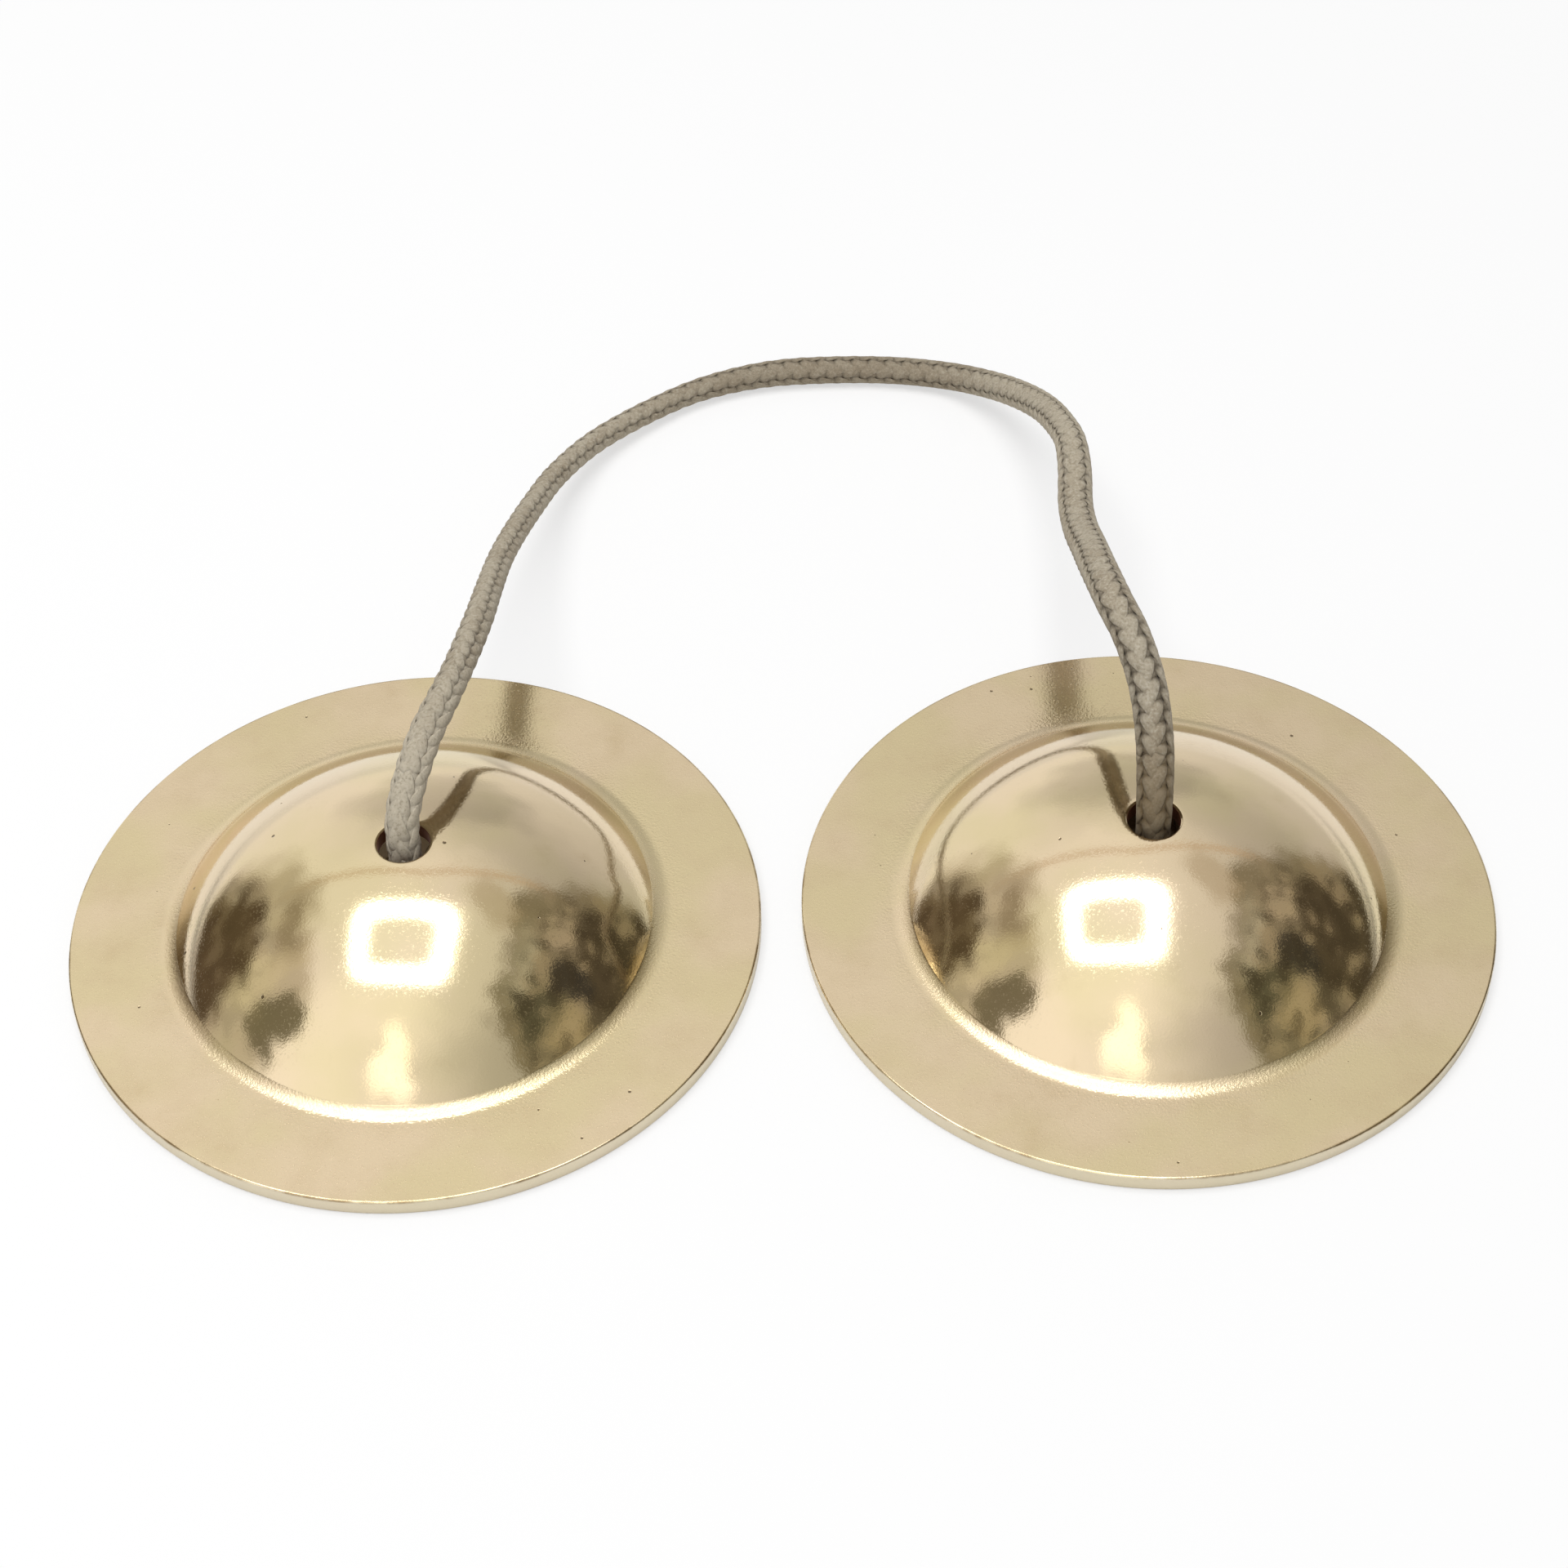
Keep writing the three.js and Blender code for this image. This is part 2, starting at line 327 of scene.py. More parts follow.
def braid_tree():
    """Sixteen strands, eight each way, over two and under two, round a core along a line.

    They make four faces of two columns each, with a ditch between one face and the next.
    Strands get narrower in a ditch, and the core fills the cord behind them.
    """
    tree, given, result = group_of(
        "plaited_cord",
        "GeometryNodeTree",
        [
            ("Line", "NodeSocketGeometry"),
            ("From", "NodeSocketFloat"),
            ("To", "NodeSocketFloat"),
            ("Diameter", "NodeSocketFloat"),
            ("Stitch", "NodeSocketFloat"),
            ("Strand Width", "NodeSocketFloat"),
            ("Strand Thickness", "NodeSocketFloat"),
            ("Relief", "NodeSocketFloat"),
            ("Slack", "NodeSocketFloat"),
            ("Ditch", "NodeSocketFloat"),
            ("Step", "NodeSocketFloat"),
            ("Sides", "NodeSocketInt"),
            ("Material", "NodeSocketMaterial"),
        ],
        [("Cord", "NodeSocketGeometry")],
    )

    def value(name):
        return Field(tree, given.outputs[name])

    def vector_math(operation, first, second=None, scale=None):
        inputs = {0: first}
        if second is not None:
            inputs[1] = second
        if scale is not None:
            inputs["Scale"] = scale
        return node(tree, "ShaderNodeVectorMath", inputs, operation=operation)

    start, end, diameter = value("From"), value("To"), value("Diameter")
    width, thickness, relief = value("Strand Width"), value("Strand Thickness"), value("Relief")
    steps = ((end - start) / value("Step")).math("CEIL")
    rings = steps + 3
    around = value("Sides") + 1
    each_way = 8
    faces = 4
    ditch_sharpness = 4
    ditch_pinch = 0.2
    core_inset = 1.5
    curve = node(tree, "GeometryNodeMeshToCurve", {"Mesh": given.outputs["Line"]}).outputs[0]
    laid = node(tree, "GeometryNodeInputNamedAttribute", {"Name": "lay"}, data_type="FLOAT_VECTOR")

    def tubes(count, place):
        """Tubes with a ring of points at each step and one more, drawn in, at each end.

        Their points are set by place(strand, distance, angle round the tube, openness).
        """
        grid = node(tree, "GeometryNodeMeshGrid", {"Vertices X": rings, "Vertices Y": around})
        one = node(tree, "GeometryNodeGeometryToInstance", {"Geometry": grid.outputs["Mesh"]})
        copies = node(
            tree,
            "GeometryNodeDuplicateElements",
            {"Geometry": one.outputs[0], "Amount": count},
            domain="INSTANCE",
        )
        real = node(tree, "GeometryNodeRealizeInstances", {"Geometry": copies.outputs[0]})
        index = Field(tree, node(tree, "GeometryNodeInputIndex").outputs[0])
        strand = (index / (rings * around)).math("FLOOR")
        rest = index - strand * rings * around
        ring = (rest / around).math("FLOOR")
        side = rest - ring * around
        share = ((ring - 1) / steps).math("MAXIMUM", 0).math("MINIMUM", 1)
        open_part = (ring.math("MINIMUM", rings - 1 - ring)).math("MINIMUM", 1)
        distance = start + (end - start) * share
        across = side / (around - 1) * math.tau
        reach, turned, out, ditch = place(strand, distance, across, open_part)
        sample = node(
            tree,
            "GeometryNodeSampleCurve",
            {"Curves": curve, "Value": laid.outputs["Attribute"], "Length": reach},
            mode="LENGTH",
            data_type="FLOAT_VECTOR",
        )
        facing = sample.outputs["Value"]
        sideways = vector_math("CROSS_PRODUCT", sample.outputs["Tangent"], facing).outputs[0]
        spot = sample.outputs["Position"]
        for axis, part in ((facing, turned.math("COSINE")), (sideways, turned.math("SINE"))):
            arm = vector_math("SCALE", axis, scale=part * out).outputs[0]
            spot = vector_math("ADD", spot, arm).outputs[0]
        placed = node(
            tree, "GeometryNodeSetPosition", {"Geometry": real.outputs[0], "Position": spot}
        ).outputs[0]
        for name, field in (
            ("across", side / (around - 1)),
            ("along", distance / mm),
            ("height", out / diameter * 2),
            ("ditch", ditch),
            ("strand", strand),
        ):
            placed = node(
                tree,
                "GeometryNodeStoreNamedAttribute",
                {"Geometry": placed, "Name": name, "Value": field},
                data_type="FLOAT",
                domain="CORNER" if name == "across" else "POINT",
            ).outputs[0]
        return placed

    def ditch_at(angle):
        """1 in the ditch between two faces of the cord, 0 in the middle of a face."""
        return (0.5 - (angle * faces).math("COSINE") * 0.5).math("POWER", ditch_sharpness)

    def strand_place(strand, distance, across, open_part):
        against = strand.math("GREATER_THAN", each_way - 0.5)
        way = 1 - against * 2
        rate = math.tau / each_way / value("Stitch")
        phase = way * rate * distance + (strand + against * 0.5) * (math.tau / each_way)
        swing = phase * faces + math.pi / 2
        ease = way * value("Slack")
        angle = phase - ease * swing.math("SINE")
        ditch = ditch_at(angle)
        wave = (angle * faces + math.pi / 2).math("COSINE")
        radius = (diameter - thickness) / 2 - relief + way * relief * wave
        radius = radius - ditch * value("Ditch")
        slope = way * rate * radius * (1 - ease * faces * swing.math("COSINE"))
        straight = (slope * slope + 1).math("SQRT")
        half = across.math("SINE") * width / 2 * open_part * (1 - ditch * ditch_pinch)
        return (
            distance - half * slope / straight,
            angle + half / straight / radius,
            radius - across.math("COSINE") * thickness / 2 * open_part,
            ditch,
        )

    def core_place(strand, distance, across, open_part):
        angle = across * -1
        radius = (diameter / 2 - thickness * core_inset) * open_part
        return distance, angle, radius, ditch_at(angle)

    joined = node(tree, "GeometryNodeJoinGeometry")
    for part in (tubes(2 * each_way, strand_place), tubes(1, core_place)):
        tree.links.new(part, joined.inputs[0])
    put_out(tree, joined.outputs[0], given, result)
    return tree


def grown(name, source, tree, **values):
    """A plain mesh piece from a source object and a geometry tree with these inputs."""
    modifier = source.modifiers.new(name, "NODES")
    modifier.node_group = tree
    for item in tree.interface.items_tree:
        key = item.name.lower().replace(" ", "_")
        if item.in_out == "INPUT" and key in values:
            modifier[item.identifier] = values[key]
    graph = bpy.context.evaluated_depsgraph_get()
    mesh = bpy.data.meshes.new_from_object(source.evaluated_get(graph))
    mesh.name = name
    source.modifiers.remove(modifier)
    piece = bpy.data.objects.new(name, mesh)
    bpy.context.scene.collection.objects.link(piece)
    return piece


def plain_material(name):
    """A material with a Principled shader, its tree and that shader."""
    made = bpy.data.materials.new(name)
    made.use_nodes = True
    tree = made.node_tree
    return made, tree, tree.nodes["Principled BSDF"]


def attribute(tree, name):
    return Field(tree, node(tree, "ShaderNodeAttribute", attribute_name=name).outputs["Fac"])


def eased(value, low, high):
    """Rises from 0 to 1 while a value goes from low to high."""
    made = node(
        value.tree,
        "ShaderNodeMapRange",
        {"Value": value, "From Min": low, "From Max": high},
        interpolation_type="SMOOTHSTEP",
    )
    return Field(value.tree, made.outputs["Result"])


def noise(tree, vector, scale, detail=2.0, roughness=0.5):
    made = node(
        tree,
        "ShaderNodeTexNoise",
        {"Vector": vector, "Scale": scale, "Detail": detail, "Roughness": roughness},
    )
    return Field(tree, made.outputs["Fac"])


def mixed(tree, share, first, second):
    """A colour between two, by a share that is a number or a field."""
    made = node(
        tree, "ShaderNodeMix", {"Factor": share, "A": first, "B": second}, data_type="RGBA"
    )
    return made.outputs[2]


# Where the yarn's colour changes, in mm along the cord from a hole: painted light by the left
# one, dirt and painted shade at the top of the arch, faded beyond it, painted shade between its
# strands that dirt deepens towards the right one, and darker brown going into that hole.
left_painted_light_end = (8, 24)
arch_dirt_and_shade_middle = 120
arch_dirt_and_shade_reach = (8, 34)
faded_middle = 163
faded_reach = (12, 26)
groove_dirt_and_shade_end = (12, 34)
right_hole_darkening_end = (1, 13)

# Linear colours of the yarn, from the base to the painted shade that lies deepest, in the ditches.
pale_yarn = (0.465, 0.408, 0.313, 1)
dusky_yarn = (0.39, 0.331, 0.245, 1)
left_painted_light_yarn = (0.57, 0.505, 0.39, 1)
left_painted_light_depths = (0.7, 0.63, 0.5, 1)
faded_yarn = (0.52, 0.46, 0.355, 1)
arch_dirt_and_shade_yarn = (0.2, 0.155, 0.1, 1)
right_hole_darkening_yarn = (0.17, 0.115, 0.05, 1)
fibre_shade = (0.22, 0.185, 0.135, 1)
fuzz_light = (0.6, 0.55, 0.445, 1)
fuzz_shade = (0.2, 0.165, 0.11, 1)
strand_shade = (0.085, 0.062, 0.036, 1)
ditch_shade = (0.035, 0.026, 0.016, 1)


def cotton_yarn():
    """Dull cotton: fibres along each strand, fuzz on top, painted shade between strands and in
    ditches, with dirt added towards the right hole.
    """
    material, tree, shader = plain_material("cotton_yarn")
    across, along_cord = attribute(tree, "across"), attribute(tree, "along")
    height, ditch, strand = (attribute(tree, key) for key in ("height", "ditch", "strand"))
    # The fibres run along each strand, so their pattern is fine across it and long along it.
    fibre_place = node(
        tree, "ShaderNodeCombineXYZ", {"X": across * 26, "Y": along_cord * 1.3, "Z": strand * 5}
    ).outputs[0]
    fibres = noise(tree, fibre_place, 1.0, detail=3.0, roughness=0.6)
    fuzz = noise(tree, node(tree, "ShaderNodeTexCoord").outputs["Object"], 3200.0, detail=3.0)
    patch_place = node(tree, "ShaderNodeCombineXYZ", {"X": along_cord * 0.1, "Y": strand * 0.25})
    patches = noise(tree, patch_place.outputs[0], 1.0)
    from_left = along_cord - left_bend / mm
    to_right = right_bend / mm - along_cord
    # Painted light: the yarn is lighter over the first stretch above the left hole, and paler deep
    # between its strands there.
    left_painted_light = 1 - eased(from_left, *left_painted_light_end)
    faded = 1 - eased((from_left - faded_middle).math("ABSOLUTE"), *faded_reach)
    # Dirt and painted shade darken the yarn at the top of the arch.
    arch_dirt_and_shade = 1 - eased((from_left - arch_dirt_and_shade_middle).math("ABSOLUTE"), *arch_dirt_and_shade_reach)
    # Painted shade darkens the yarn deep between its strands everywhere, and more, with dirt, towards
    # the right hole.
    groove_dirt_and_shade = (1 - eased(to_right, *groove_dirt_and_shade_end)) * 0.5 + 0.12
    # The yarn turns darker brown over the last stretch into the right hole.
    right_hole_darkening = 1 - eased(to_right, *right_hole_darkening_end)
    deep = 1 - eased(height, 0.87, 0.975)
    # Painted shade darkens the ditches between the faces, less near the left hole.
    gap = ditch * (1 - eased(height, 0.85, 0.97)) * (0.92 - left_painted_light * 0.6)
    colour = mixed(tree, eased(patches, 0.35, 0.68), pale_yarn, dusky_yarn)
    for share, tint in (
        (left_painted_light * 0.6, left_painted_light_yarn),
        (faded * 0.4, faded_yarn),
        (eased(fibres, 0.5, 0.8) * 0.4, fibre_shade),
        (eased(fuzz, 0.52, 0.68) * 0.5, fuzz_light),
        ((1 - eased(fuzz, 0.32, 0.48)) * 0.4, fuzz_shade),
        (arch_dirt_and_shade * (eased(fibres, 0.4, 0.7) * 0.4 + 0.3), arch_dirt_and_shade_yarn),
        (deep * groove_dirt_and_shade, strand_shade),
        (deep * left_painted_light * 0.4, left_painted_light_depths),
        (gap, ditch_shade),
        (right_hole_darkening * 0.7, right_hole_darkening_yarn),
    ):
        colour = mixed(tree, share, colour, tint)
    tree.links.new(colour, shader.inputs["Base Color"])
    shader.inputs["Roughness"].default_value = 0.92
    shader.inputs["Specular IOR Level"].default_value = 0.12
    shader.inputs["Sheen Weight"].default_value = 0.05
    shader.inputs["Sheen Roughness"].default_value = 0.5
    bump = node(
        tree, "ShaderNodeBump", {"Height": fibres + fuzz, "Strength": 0.6, "Distance": 0.08 * mm}
    )
    tree.links.new(bump.outputs[0], shader.inputs["Normal"])
    return material


# The free cord is a piece of its own, cut a little way out from the bend at each end.
plaiting = braid_tree()
cut = 7 * mm
cord_sizes = {
    "diameter": cord_diameter,
    "stitch": 2.2 * mm,
    "strand_width": 1.36 * mm,
    "strand_thickness": 0.36 * mm,
    "relief": 0.055 * mm,
    "slack": 0.06,
    "ditch": 0.33 * mm,
    "step": 0.42 * mm,
    "sides": 8,
    "material": cotton_yarn(),
}
left_cut, right_cut = left_bend + cut, right_bend - cut
stretches = {
    "left_knot_braid": (0.0, left_cut),
    "connecting_cord_braid": (left_cut, right_cut),
    "right_knot_braid": (right_cut, cord_length),
}
braids = {
    name: grown(name, cord_line, plaiting, **{"from": start, "to": end}, **cord_sizes)
    for name, (start, end) in stretches.items()
}
bpy.data.objects.remove(cord_line)
free_cord = braids["connecting_cord_braid"]
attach(free_cord, "cord")
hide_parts("connecting_cord")
free_line = [
    tuple(point) for at, point in zip(along, whole_line) if left_cut <= at <= right_cut
]

# Stopper knots: the two ends of the same cord, tied under the crowns. The cord between knot
# and leg bends where it enters the hole.
for side, prefix in ((-1, "left"), (1, "right")):
    knot = braids[f"{prefix}_knot_braid"]
    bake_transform(knot)
    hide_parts(f"{prefix}_stopper_knot")
right_bend - left_bend

# Cymbals: each is cast in pale bell brass and turned on a lathe, with a flat flange,
# a concave foot and a polished dome. The hollow keeps a darker cast skin.
disc_radius = 37.5 * mm
rim_round = 0.35 * mm
rim_break = 0.25 * mm
mouth_round = 0.8 * mm
hole_radius = 2.8 * mm
hole_round = 0.3 * mm
cove_radius = 3.6 * mm
cove_tilt = 35
lathe_steps = 240
rim_pieces = 6
break_pieces = 4
cove_pieces = 16
dome_pieces = 56
hollow_pieces = 40
hole_pieces = 7
mouth_pieces = 8

# A short flat stretch beside each rounded edge keeps the shading of the next face even.
held_flat = 0.06 * mm


def arc(x, y, radius, start, end, pieces):
    """Points of an arc in the profile plane, from one angle to another, in degrees."""
    angles = [math.radians(start + (end - start) * i / pieces) for i in range(pieces + 1)]
    return [(x + radius * math.cos(a), y + radius * math.sin(a)) for a in angles]


def angle_of(x, y):
    """The angle of the line from the dome's centre to a point of the profile plane."""
    return math.degrees(math.atan2(y - dome_centre, x))


def cymbal_profile():
    """Outer face from the rim to the hole, then the hollow, and the last point of the mouth.

    The polished dome stops at a crisp edge, where the satin cove at its foot begins.
    """
    rim_out = disc_radius - rim_break
    edge = hole_radius + hole_round
    cove_height = flange_thickness + cove_radius
    crease_height = cove_height - cove_radius * math.cos(math.radians(cove_tilt))
    crease = math.sqrt(dome_radius**2 - (crease_height - dome_centre) ** 2)
    dome_angle = angle_of(crease, crease_height) + math.degrees(held_flat / dome_radius)
    cove = crease + cove_radius * math.sin(math.radians(cove_tilt))
    outer_height = dome_centre + math.sqrt((dome_radius - hole_round) ** 2 - edge**2)
    inner_height = dome_centre + math.sqrt((hollow_radius + hole_round) ** 2 - edge**2)
    mouth = math.sqrt((hollow_radius + mouth_round) ** 2 - (mouth_round - dome_centre) ** 2)
    mouth_angle = angle_of(mouth, mouth_round)
    outer_angle, inner_angle = angle_of(edge, outer_height), angle_of(edge, inner_height)
    outside = [
        (disc_radius - rim_round - held_flat, 0),
        *arc(disc_radius - rim_round, rim_round, rim_round, -90, 0, rim_pieces),
        (disc_radius, rim_round + held_flat),
        (disc_radius, flange_thickness - rim_break - held_flat),
        *arc(rim_out, flange_thickness - rim_break, rim_break, 0, 90, break_pieces),
        (rim_out - held_flat, flange_thickness),
        (cove + held_flat, flange_thickness),
        *arc(cove, cove_height, cove_radius, -90, -90 - cove_tilt, cove_pieces),
        *arc(0, dome_centre, dome_radius, dome_angle, outer_angle, dome_pieces)[:-1],
        *arc(edge, outer_height, hole_round, outer_angle, 180, hole_pieces),
    ]
    inside = [
        *arc(edge, inner_height, hole_round, 180, inner_angle + 180, hole_pieces),
        *arc(0, dome_centre, hollow_radius, inner_angle, mouth_angle, hollow_pieces)[1:-1],
        *arc(mouth, mouth_round, mouth_round, mouth_angle - 180, -90, mouth_pieces),
    ]
    return outside, inside, (mouth + held_flat, 0)


def lathe_tree():
    """Turns a closed profile in the XZ plane once about the disc's own axis."""
    tree, given, result = group_of(
        "turned_disc",
        "GeometryNodeTree",
        [
            ("Profile", "NodeSocketGeometry"),
            ("Steps", "NodeSocketInt"),
            ("Centre", "NodeSocketFloat"),
            ("Material", "NodeSocketMaterial"),
        ],
        [("Disc", "NodeSocketGeometry")],
    )
    profile, steps = given.outputs["Profile"], Field(tree, given.outputs["Steps"])
    size = node(tree, "GeometryNodeAttributeDomainSize", {"Geometry": profile})
    rows = Field(tree, size.outputs["Point Count"])
    grid = node(tree, "GeometryNodeMeshGrid", {"Vertices X": steps + 1, "Vertices Y": rows})
    index = Field(tree, node(tree, "GeometryNodeInputIndex").outputs[0])
    column = (index / rows).math("FLOOR")
    row = index - column * rows

    def from_profile(field, kind):
        return node(
            tree,
            "GeometryNodeSampleIndex",
            {"Geometry": profile, "Value": field, "Index": row},
            data_type=kind,
        ).outputs["Value"]

    position = node(tree, "GeometryNodeInputPosition").outputs[0]
    parts = node(tree, "ShaderNodeSeparateXYZ", {0: from_profile(position, "FLOAT_VECTOR")})
    radius = Field(tree, parts.outputs["X"])
    turned = column / steps * math.tau
    spot = node(
        tree,
        "ShaderNodeCombineXYZ",
        {
            "X": radius * turned.math("COSINE") + Field(tree, given.outputs["Centre"]),
            "Y": radius * turned.math("SINE"),
            "Z": parts.outputs["Z"],
        },
    )
    placed = node(
        tree, "GeometryNodeSetPosition", {"Geometry": grid.outputs[0], "Position": spot.outputs[0]}
    )
    hollow = node(tree, "GeometryNodeInputNamedAttribute", {"Name": "hollow"}, data_type="FLOAT")
    marked = node(
        tree,
        "GeometryNodeStoreNamedAttribute",
        {
            "Geometry": placed.outputs[0],
            "Name": "hollow",
            "Value": from_profile(hollow.outputs["Attribute"], "FLOAT"),
        },
        data_type="FLOAT",
        domain="POINT",
    )
    put_out(tree, marked.outputs[0], given, result)
    return tree


# How fine each pattern in the metal is, in patches per metre, and the share of cells
# that hold a pit, with the size of a pit as a share of its cell.
tone_scale = 75.0
tarnish_scale = 160.0
grain_scale = 3600.0
line_scale = 5200.0
pit_scale = 210.0
pitted_share = 0.11
pit_least = 0.012
pit_spread = 0.04


def metal_skin_group():
    """How turned brass varies: tone, tarnish, grain, pits and lathe lines, round a disc.

    A pit is a small round spot in one of the rare cells of a pattern of cells.
    """
    tree, given, result = group_of(
        "metal_skin",
        "ShaderNodeTree",
        [("Vector", "NodeSocketVector"), ("Seed", "NodeSocketVector")],
        [
            ("Tone", "NodeSocketFloat"),
            ("Tarnish", "NodeSocketFloat"),
            ("Grain", "NodeSocketFloat"),
            ("Pits", "NodeSocketFloat"),
            ("Lines", "NodeSocketFloat"),
        ],
    )
    place = node(
        tree,
        "ShaderNodeVectorMath",
        {0: given.outputs["Vector"], 1: given.outputs["Seed"]},
        operation="ADD",
    ).outputs[0]
    tone = noise(tree, place, tone_scale, detail=3.0)
    tarnish = noise(tree, place, tarnish_scale, detail=6.0, roughness=0.65)
    grain = noise(tree, place, grain_scale, detail=2.0, roughness=0.6)
    cells = node(
        tree, "ShaderNodeTexVoronoi", {"Vector": place, "Scale": pit_scale}, voronoi_dimensions="2D"
    )
    chance = node(tree, "ShaderNodeSeparateColor", {0: cells.outputs["Color"]})
    rare = Field(tree, chance.outputs[0]).math("GREATER_THAN", 1 - pitted_share)
    spot_size = Field(tree, chance.outputs[1]) * pit_spread + pit_least
    spot = 1 - eased(Field(tree, cells.outputs["Distance"]) / spot_size, 0.5, 1.0)
    radius = node(
        tree, "ShaderNodeVectorMath", {0: given.outputs["Vector"]}, operation="LENGTH"
    ).outputs["Value"]
    line_place = node(tree, "ShaderNodeCombineXYZ", {"X": radius}).outputs[0]
    lines = noise(tree, line_place, line_scale, detail=2.0, roughness=0.7)
    for name, field in (
        ("Tone", tone), ("Tarnish", tarnish), ("Grain", grain), ("Pits", rare * spot), ("Lines", lines)
    ):
        tree.links.new(field.socket, result.inputs[name])
    return tree


metal_skin = metal_skin_group()

# Linear colours of the metal where it is bare, tarnished, turned or still as cast, a painted
# reflection on the rim's side and painted shade in the bore.
rosy_brass = (0.785, 0.638, 0.44, 1)
green_brass = (0.74, 0.622, 0.385, 1)
tarnished_brass = (0.6, 0.46, 0.27, 1)
flange_brass = (0.66, 0.52, 0.34, 1)
side_brass_painted_reflection = (0.7, 0.64, 0.5, 1)
cast_skin = (0.32, 0.22, 0.12, 1)
bore_painted_shade = (0.32, 0.14, 0.08, 1)
rim_dirt = (0.28, 0.19, 0.09, 1)
pit_dirt = (0.12, 0.08, 0.045, 1)


def bell_brass(name, centre, seed):
    """Polished on the dome, satin on the flange and its cove, darker and rough in the hollow."""
    material, tree, shader = plain_material(name)
    coordinates = node(tree, "ShaderNodeTexCoord").outputs["Object"]
    centred = node(
        tree, "ShaderNodeMapping", {"Vector": coordinates, "Location": (-centre, 0, 0)}
    ).outputs[0]
    skin = node(tree, "ShaderNodeGroup", node_tree=metal_skin)
    tree.links.new(centred, skin.inputs["Vector"])
    skin.inputs["Seed"].default_value = seed
    tone, tarnish, grain, pits, lines = (
        Field(tree, skin.outputs[key]) for key in ("Tone", "Tarnish", "Grain", "Pits", "Lines")
    )
    parts = node(tree, "ShaderNodeSeparateXYZ", {0: centred})
    x, y, z = (Field(tree, parts.outputs[key]) for key in "XYZ")
    radius = (x * x + y * y).math("SQRT")

    def beyond(distance, edge, start, end):
        """Rises from 0 to 1 between two offsets, in mm, from an edge."""
        return eased(distance, edge + start * mm, edge + end * mm)

    # Zones of the disc, each from 0 to 1: the dirty upper edge of the rim and its side, the
    # flange, all that lies outside the crisp edge, its cove in two grades, and the hole.
    hollow = attribute(tree, "hollow")
    outer = 1 - hollow
    rim_line = beyond(radius, disc_radius, -0.3, -0.12) * beyond(z, flange_thickness, -0.3, -0.1)
    # Painted reflection: the rim's side face is painted paler and whiter, standing in for the white
    # table it mirrors.
    side_face = beyond(radius, disc_radius, -0.12, -0.03)
    flange = beyond(radius, foot_radius, -0.5, 0.2) * outer
    foot = beyond(radius, foot_radius, -2.05, -1.9) * outer
    sandy = foot * (1 - beyond(radius, foot_radius, -0.4, 3))
    ragged = radius + (grain - 0.5) * 1.4 * mm
    satin = foot * (1 - beyond(ragged, foot_radius, -0.9, -0.1))
    # Painted shade: the bore of the hole is painted dark red-brown.
    bore = hollow * (1 - beyond(radius, hole_radius, 0.6, 2.4))
    dirty = eased(tarnish, 0.42, 0.62) * 0.8
    warm = eased(tarnish, 0.4, 0.62) * 0.24 + eased(grain, 0.56, 0.74) * 0.2
    colour = mixed(tree, eased(tone, 0.36, 0.64), rosy_brass, green_brass)
    for share, tint in (
        (eased(tarnish, 0.56, 0.78) * 0.35, tarnished_brass),
        (warm * flange, flange_brass),
        (hollow * 0.85, cast_skin),
        (bore, bore_painted_shade),
        (side_face * 0.7, side_brass_painted_reflection),
        (rim_line * dirty, rim_dirt),
        (pits * 0.85, pit_dirt),
    ):
        colour = mixed(tree, share, colour, tint)
    tree.links.new(colour, shader.inputs["Base Color"])
    shader.inputs["Metallic"].default_value = 1.0
    specks = eased(grain, 0.57, 0.68) * outer
    rough = 0.065 + flange * 0.1 + satin * 0.2 + eased(tarnish, 0.45, 0.8) * 0.04 + specks * 0.12
    rough = rough + hollow * 0.28 + bore * 0.2 + side_face * 0.12 + pits * 0.06
    tree.links.new(rough.socket, shader.inputs["Roughness"])
    relief = grain * (sandy * 2.2 + flange * 0.4 + 0.55) + lines * (flange * 0.3 + hollow * 1.6)
    relief = relief + tarnish * hollow * 3 - pits * 2
    bump = node(
        tree, "ShaderNodeBump", {"Height": relief, "Strength": 0.5, "Distance": 0.024 * mm}
    )
    tree.links.new(bump.outputs[0], shader.inputs["Normal"])
    return material


# The cast skin starts just inside the rounded edge of the hole, on the last points of the
# outside, and ends half way round the mouth.
bore_points = 3
bare_mouth_points = 5
outside, inside, last = cymbal_profile()
profile_points = [(x, 0, z) for x, z in (*outside, *inside, last, outside[0])]
turning = lathe_tree()
for side, prefix, seed in ((-1, "left", (3.1, 0.4, 1.7)), (1, "right", (7.3, 2.2, 5.9))):
    profile_mesh = bpy.data.meshes.new(f"{prefix}_profile")
    profile_mesh.from_pydata(
        profile_points, [(i, i + 1) for i in range(len(profile_points) - 1)], []
    )
    hollow = profile_mesh.attributes.new("hollow", "FLOAT", "POINT")
    for i in range(len(outside) - bore_points, len(outside) + len(inside) - bare_mouth_points):
        hollow.data[i].value = 1.0
    profile_object = bpy.data.objects.new(f"{prefix}_profile", profile_mesh)
    bpy.context.scene.collection.objects.link(profile_object)
    centre = side * disc_spacing / 2
    disc = grown(
        f"{prefix}_cymbal_brass",
        profile_object,
        turning,
        steps=lathe_steps,
        centre=centre,
        material=bell_brass(f"{prefix}_bell_brass", centre, seed),
    )
    bpy.data.objects.remove(profile_object)
    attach(disc, f"{prefix}_disc")
    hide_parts(f"{prefix}_cymbal")

